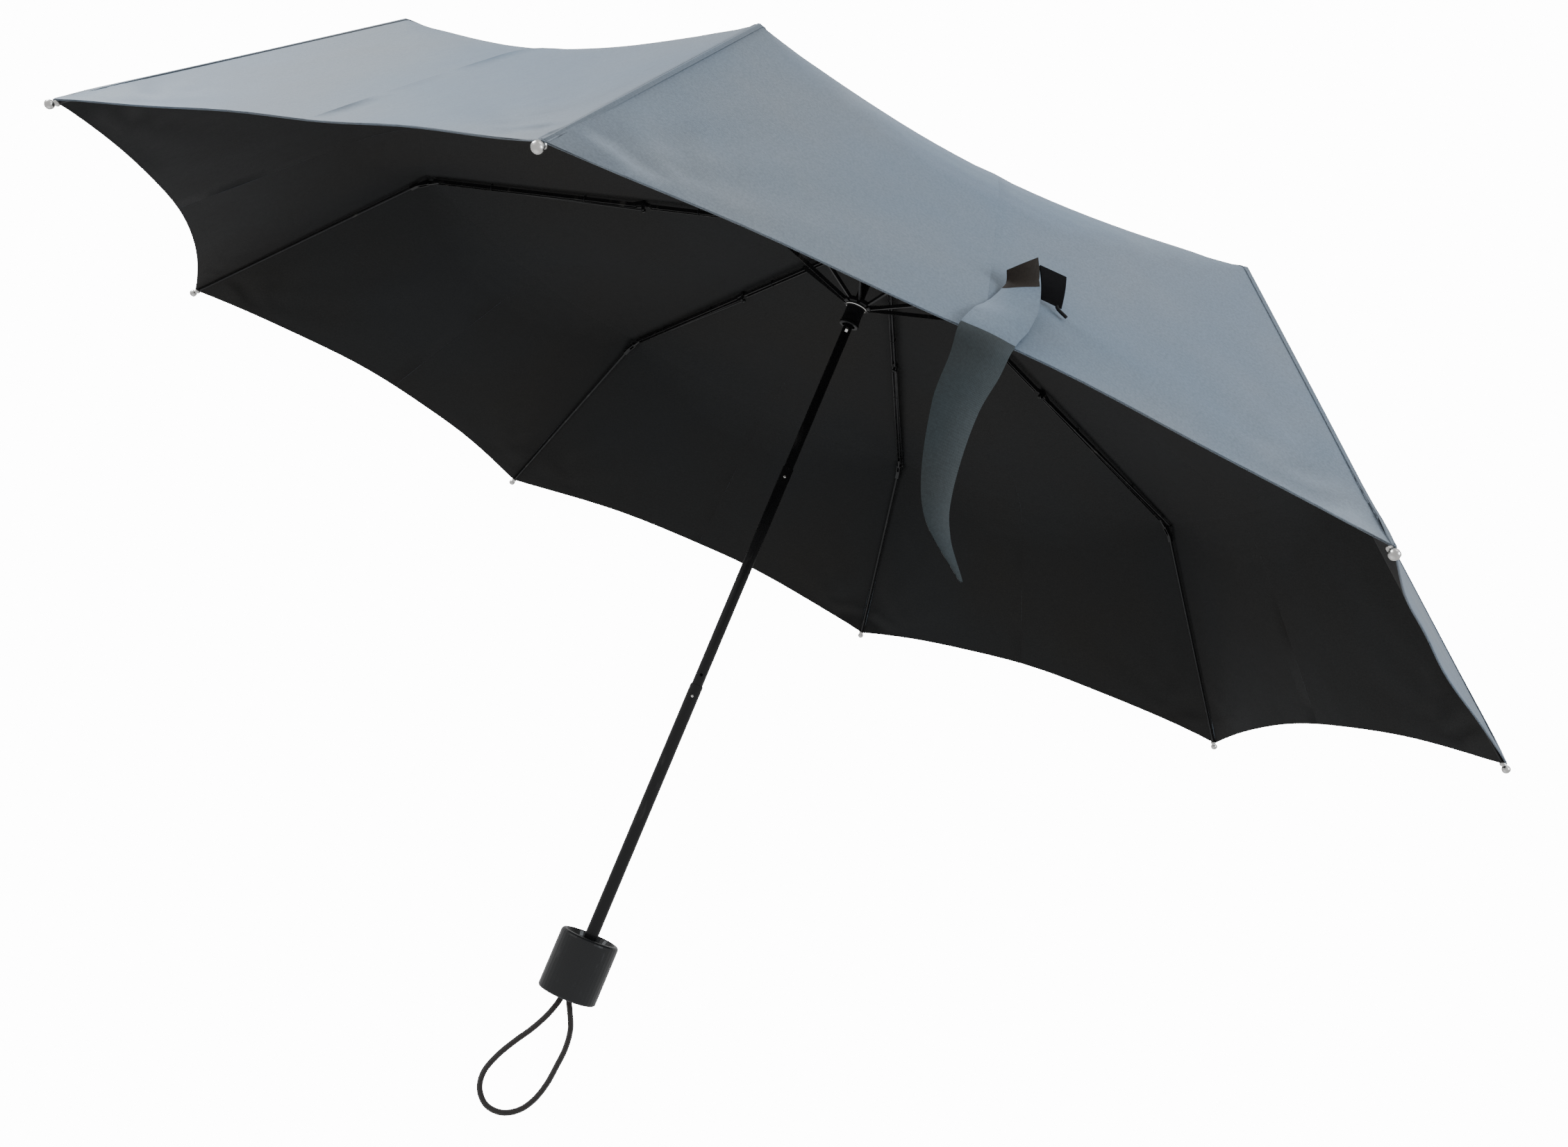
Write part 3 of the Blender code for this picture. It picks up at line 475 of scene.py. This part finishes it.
# Where each section's cloth starts and ends, from the crown (None: at the hem).
SPREAD = {"main_rib": (6 * MM, CLOTH_SPANS[0]), "middle_rib": (CLOTH_SPANS[0], CLOTH_ELBOW),
          "outer_rib": (CLOTH_ELBOW, None)}
PITCHES = {"main_rib": MAIN_PITCH, "middle_rib": MAIN_PITCH, "outer_rib": OUTER_PITCH}
ROWS = {"main_rib": 14, "middle_rib": 16, "outer_rib": 22}
HEM_START = 0.955               # share of the outermost cloth where its thicker hem begins
halves = {}


def direction(turn, radial, around, up):
    """Vector given by its radial, sideways and upward parts at an angle round the shaft."""
    return Vector((radial * math.cos(turn) - around * math.sin(turn),
                   radial * math.sin(turn) + around * math.cos(turn), up))


def cloth_half(rib, section, side):
    """Cloth from a rib's section to the middle of the gore on one side of it."""
    first, last = SPREAD[section]
    gore = rib if side > 0 else (rib - 1) % RIBS
    turn = rib * STEP_ANGLE

    def spot(u, v):
        t = -side * (1 - u)
        end = hem_at(t) if last is None else last
        return canopy_point(gore, t, first + (end - first) * v)

    def thickness(u, v):
        return 0.95 * MM if last is None and v > HEM_START else 0.35 * MM

    outward = direction(turn, math.sin(PITCHES[section]), 0, math.cos(PITCHES[section]))
    width = (spot(1, 1) - spot(0, 1)).length
    length = (spot(0, 1) - spot(0, 0)).length
    obj, area = two_faced(f"cloth_{section}_{rib}_{'left' if side < 0 else 'right'}", spot, 12,
                          ROWS[section], thickness, [CLOTH_OUTSIDE, CLOTH_INSIDE], outward,
                          (width, length))
    body = f"{section}_{rib}"
    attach(obj, body)
    tuple(spot(0, 0.5))
    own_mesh(obj)
    return obj


for rib in range(RIBS):
    for section in SPREAD:
        for side in (-1, 1):
            halves[rib, section, side] = cloth_half(rib, section, side)
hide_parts("canopy")

# ---- seams over the ribs --------------------------------------------------------------------
SEAM_WIDTH = 5 * MM
SEAM_LIFT = 0.3 * MM
ELBOW_REACH = 7 * MM            # the seam bends round an elbow over this much on both sides
SEAM_RUNS = {
    "main_rib": (9 * MM, CLOTH_SPANS[0] - ELBOW_REACH),
    "middle_rib": (CLOTH_SPANS[0] + ELBOW_REACH, CLOTH_ELBOW - ELBOW_REACH),
    "outer_rib": (CLOTH_ELBOW + ELBOW_REACH, CLOTH_LENGTH - 1 * MM)}


def seam(name, rib, start, end, rows):
    """Flat-felled seam over a rib, from start to end along the cloth."""
    def spot(u, v):
        s = start + (end - start) * v
        aside = SEAM_WIDTH * (u - 0.5)
        share = min(0.9, abs(aside) / (cloth_line(s)[0] * math.tan(STEP_ANGLE / 2)))
        gore, t = (rib, share - 1) if aside >= 0 else ((rib - 1) % RIBS, 1 - share)
        return canopy_point(gore, t, s, SEAM_LIFT)

    def thickness(u, v):
        return (0.55 if abs(abs(u - 0.5) - 0.33) < 0.09 else 0.8) * MM

    obj, _ = two_faced(name, spot, 12, rows, thickness, [SEAM_CLOTH, CLOTH_INSIDE],
                       direction(rib * STEP_ANGLE, 0.4, 0, 0.9), (SEAM_WIDTH, end - start))
    return obj


on_cloth = {key: [] for key in halves}
for rib in range(RIBS):
    for section, (start, end) in SEAM_RUNS.items():
        run = seam(f"seam_{section}_{rib}", rib, start, end, 24)
        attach(run, f"{section}_{rib}")
        on_cloth[rib, section, 1].append(run)
    for inner, outer, middle in (("main_rib", "middle_rib", CLOTH_SPANS[0]),
                                 ("middle_rib", "outer_rib", CLOTH_ELBOW)):
        start, end = middle - ELBOW_REACH, middle + ELBOW_REACH
        bend = seam(f"seam_{inner}_bend_{rib}", rib, start, end, 10)
        tuple(canopy_point(rib, -1, start))
        tuple(canopy_point(rib, -1, end))
        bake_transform(bend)
        on_cloth[rib, inner, 1].append(bend)

# ---- tip beads and thread ties --------------------------------------------------------------
# Profile of a bead: mm along the rib from the tip, and radius in mm.
BEAD = [(-5.4, 0.9), (-5.0, 1.5), (-4.2, 2.0), (-3.2, 1.9), (-2.4, 1.3), (-1.9, 1.9), (-1.0, 2.45),
        (0.0, 2.6), (1.0, 2.45), (1.9, 1.7), (2.4, 0.6)]
TIES = {"main_rib": (CROWN, (60, 128)), "middle_rib": (ELBOW_1, (45, 118))}     # mm along the rib
TIE_CENTRE = -1.35              # mm over the rib's middle
TIE_HALF = (1.95, 2.35)         # half width and half height of a tie, in mm
TIE_SIDES = 16
for rib in range(RIBS):
    turn = rib * STEP_ANGLE
    tip = direction(turn, TIP[0], 0, TIP[1])
    way = direction(turn, math.cos(OUTER_PITCH), 0, -math.sin(OUTER_PITCH))
    bead = swept(f"tip_bead_{rib}", [tip + way * x * MM for x, _ in BEAD],
                 [r * MM for _, r in BEAD], 16, NICKEL)
    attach(bead, f"outer_rib_{rib}")
    for section, (origin, places) in TIES.items():
        for place in places:
            loop = []
            for k in range(TIE_SIDES + 1):
                a = 2 * math.pi * k / TIE_SIDES
                over = (TIE_CENTRE + TIE_HALF[1] * math.sin(a)) * MM
                x, z = along(origin, PITCHES[section], place * MM, over)
                loop.append(direction(turn, x, TIE_HALF[0] * MM * math.cos(a), z))
            tie = swept(f"tie_{section}_{place}_{rib}", loop, 0.35 * MM, 6, THREAD)
            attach(tie, f"{section}_{rib}")
            on_cloth[rib, section, 1].append(tie)


# ---- tie strap ------------------------------------------------------------------------------
STRAP_GORE = 6
STRAP_WIDTH = 24 * MM
HEM_MIDDLE = hem_at(0)
FLAP_RISE = Vector((-0.34, -0.22, 0.91))        # the way its root end and the tab stand up
FLAP_ACROSS = Vector((0.71, 0.07, 0.70))
GORE_MIDDLE = (STRAP_GORE + 0.5) * STEP_ANGLE
GORE_OUT = direction(GORE_MIDDLE, 1, 0, 0)
GORE_ACROSS = direction(GORE_MIDDLE, 0, 1, 0)


def on_gore(t, above_hem, lift):
    """Point over the strap's gore, so far above the middle of the hem."""
    return canopy_point(STRAP_GORE, t, HEM_MIDDLE - above_hem, lift)


flap_foot = on_gore(0.085, 44 * MM, 3 * MM)
strap_edge = on_gore(0, 0, 3.4 * MM)
STRAP_ROUTE = [                 # its centre line, and its width there as a share of the full one
    (flap_foot + FLAP_RISE * 12 * MM, 0.58), (flap_foot + FLAP_RISE * 4 * MM, 0.58),
    (on_gore(0.06, 28 * MM, 3.4 * MM), 0.90), (on_gore(0.03, 11 * MM, 3.6 * MM), 1.0),
    (strap_edge + Vector((1, -2, -4)) * MM, 1.0), (strap_edge + Vector((1, -2, -17)) * MM, 0.90),
    (strap_edge + Vector((0, -2, -36)) * MM, 0.78), (strap_edge + Vector((4, -1, -64)) * MM, 0.58),
    (strap_edge + Vector((11, 0, -82)) * MM, 0.42), (strap_edge + Vector((27, 0, -99)) * MM, 0.05)]
STRAP_TURN = 3                  # route points over which the flap's edge swings to the hem's
STRAP_PER_SPAN = 8
strap_line = smooth_route([point for point, _ in STRAP_ROUTE], STRAP_PER_SPAN)


def strap_spot(u, v):
    """Point of the strap's middle surface: u goes across it and v from its root to its point."""
    place = v * (len(strap_line) - 1)
    step = min(int(place), len(strap_line) - 2)
    centre = strap_line[step].lerp(strap_line[step + 1], place - step)
    place /= STRAP_PER_SPAN
    span = min(int(place), len(STRAP_ROUTE) - 2)
    width = STRAP_ROUTE[span][1]
    width += (STRAP_ROUTE[span + 1][1] - width) * (place - span)
    across = FLAP_ACROSS.lerp(GORE_ACROSS, min(1, place / STRAP_TURN)).normalized()
    curl = GORE_OUT * 1.8 * MM * width * (1 - (2 * u - 1) ** 2)
    return centre + across * STRAP_WIDTH * width * (u - 0.5) + curl


def fold_to_shaft(obj):
    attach(obj, "upper_shaft")
    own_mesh(obj)


strap_length = sum((b - a).length for a, b in zip(strap_line, strap_line[1:]))
strap, strap_area = two_faced(
    "strap", strap_spot, 8, 72, lambda u, v: 1.15 * MM if abs(u - 0.5) > 0.38 else 0.7 * MM,
    [STRAP_PAINTED_SHADE, STRAP_PAINTED_SHADE], direction(GORE_MIDDLE, 1, 0, 0.3), (STRAP_WIDTH, strap_length))
# Strap faces by place along it: the flap gets brown painted shadow, the stretch lying on the gore
# gets the canopy's outside colour as its lit part, and the hanging rest keeps the slate painted
# shade.
strap.data.materials.append(FLAP_PAINTED_SHADOW)
strap.data.materials.append(CLOTH_OUTSIDE)
FLAP_END = 1.3                  # route points that the flap takes up, then the lit stretch
LIT_END = 4
strap_uv = strap.data.uv_layers[0].data
for face in strap.data.polygons:
    place = strap_uv[face.loop_start].uv.y / strap_length * (len(STRAP_ROUTE) - 1)
    if place < LIT_END:
        face.material_index = 2 if place < FLAP_END else 3
fold_to_shaft(strap)
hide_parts("tie_strap")

tab_foot = on_gore(0.175, 47 * MM, 2.2 * MM)
TAB_WIDTH = 11 * MM
TAB_HEIGHT = 14 * MM


def tab_spot(u, v):
    """Point of the tab: u goes across it and v from its foot to its top, which is wider."""
    curl = GORE_OUT * (1.2 * math.sin(math.pi * v) + 0.8 * u * v) * MM
    wide = 1.0 + 0.12 * v - 0.25 * u * (1 - v)
    return (tab_foot + GORE_ACROSS * TAB_WIDTH * wide * (u - 0.5) + FLAP_RISE * TAB_HEIGHT * v
            + curl)


tab, tab_area = two_faced("hook_tab", tab_spot, 8, 12, lambda u, v: 1.3 * MM,
                          [HOOK_TAPE, HOOK_TAPE], direction(GORE_MIDDLE, 1, 0, 0.3),
                          (TAB_WIDTH, TAB_HEIGHT))
tail_knots = [tab_spot(0.72, 0.04), on_gore(0.19, 45 * MM, 2.4 * MM),
              on_gore(0.215, 42 * MM, 2 * MM)]
tab_tail = swept("tab_tail", smooth_route(tail_knots, 5), 0.75 * MM, 8, THREAD)
for piece in (tab, tab_tail):
    fold_to_shaft(piece)
    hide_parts("strap_tab")

# ---- stage ----------------------------------------------------------------------------------
FLOOR_RADIUS = 1.2
FLOOR_FADE = 1.15               # the floor has faded out at this radius
FLOOR_Z = -0.75
bpy.ops.mesh.primitive_circle_add(vertices=96, radius=FLOOR_RADIUS, fill_type="NGON",
                                  location=(0, 0, FLOOR_Z))
floor = bpy.context.object
floor.name = "floor"
pale = Shader("floor_pale", (0.93, 0.93, 0.93), 0.9)
spread = pale.nodes.new("ShaderNodeMapping")
spread.inputs["Scale"].default_value = (1 / FLOOR_FADE,) * 3
fade = pale.nodes.new("ShaderNodeTexGradient")
fade.gradient_type = "SPHERICAL"
pale.links.new(pale.coords.outputs["Object"], spread.inputs["Vector"])
pale.links.new(spread.outputs["Vector"], fade.inputs["Vector"])
pale.set("Alpha", pale.ramp(fade.outputs["Fac"], [(0.0, 0.0), (0.75, 1.0)]))
floor.data.materials.append(pale.mat)

# The studio is an even white: the backdrop shows brighter than the light it gives.
STUDIO_LIGHT = 0.72
STUDIO_SEEN = 14.0
world = bpy.data.worlds.new("studio")
bpy.context.scene.world = world
world.use_nodes = True
backdrop = world.node_tree
sky = backdrop.nodes["Background"]
sky.inputs["Color"].default_value = (1, 1, 1, 1)
seen = backdrop.nodes.new("ShaderNodeLightPath").outputs["Is Camera Ray"]
strength = backdrop.nodes.new("ShaderNodeMapRange")
strength.inputs["To Min"].default_value = STUDIO_LIGHT
strength.inputs["To Max"].default_value = STUDIO_SEEN
backdrop.links.new(seen, strength.inputs["Value"])
backdrop.links.new(strength.outputs["Result"], sky.inputs["Strength"])


def soft_light(name, place, target, size, power, colour):
    """Square area light. place and target are in metres, power in watts."""
    light = bpy.data.lights.new(name, "AREA")
    light.shape = "SQUARE"
    light.size = size
    light.energy = power
    light.color = colour
    obj = bpy.data.objects.new(name, light)
    bpy.context.scene.collection.objects.link(obj)
    obj.location = place
    obj.rotation_euler = (Vector(place) - Vector(target)).to_track_quat("Z", "Y").to_euler()


soft_light("key", (0.9, -0.8, 3.2), (0, 0, 0.45), 2.0, 18, (0.95, 0.97, 1.0))
soft_light("right", (1.25, -0.60, 0.85), (0.38, -0.30, 0.42), 0.5, 9, (0.88, 0.95, 1.0))
soft_light("left", (-1.6, -0.55, 1.5), (-0.25, -0.2, 0.47), 0.8, 42, (0.92, 0.965, 1.0))
soft_light("fill", (-1.8, -1.6, 1.2), (0, 0, 0.3), 1.5, 5, (1.0, 0.98, 0.95))
